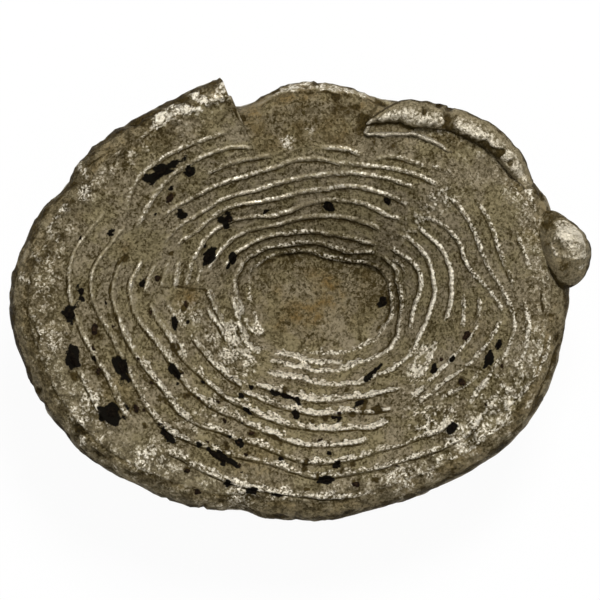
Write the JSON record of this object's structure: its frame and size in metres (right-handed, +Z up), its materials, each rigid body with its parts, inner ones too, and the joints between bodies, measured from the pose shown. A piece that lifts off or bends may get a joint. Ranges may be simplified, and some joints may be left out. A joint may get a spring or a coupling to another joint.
{
  "type": "silver sycee ingot",
  "caption": "Oval cast silver ingot with a dished top ringed by fine ridges, a torn and folded rim and a flat base, once weighed out as money.",
  "frame": {"origin": "centre of the flat base, on the surface that the ingot stands on", "axes": "+X along the length, towards the frozen drop; +Y across, towards the spout and the tear; +Z up, out of the hollow"},
  "size_m": [0.0564, 0.043, 0.0172],
  "materials": {
    "cast_silver": "tarnished cast silver, grey-olive with bright worn ridge crests",
    "skin_silver": "rough frozen silver skin, worn brighter than the rest",
    "charcoal_residue": "dull black charcoal and slag",
    "rust_residue": "dull red-brown earthy residue"
  },
  "bodies": {
    "root": {"ingot_body": "cast_silver", "rim_lap": "skin_silver", "rim_drop": "skin_silver", "charcoal_flecks": "charcoal_residue", "rust_flecks": "rust_residue"}
  },
  "joints": []
}
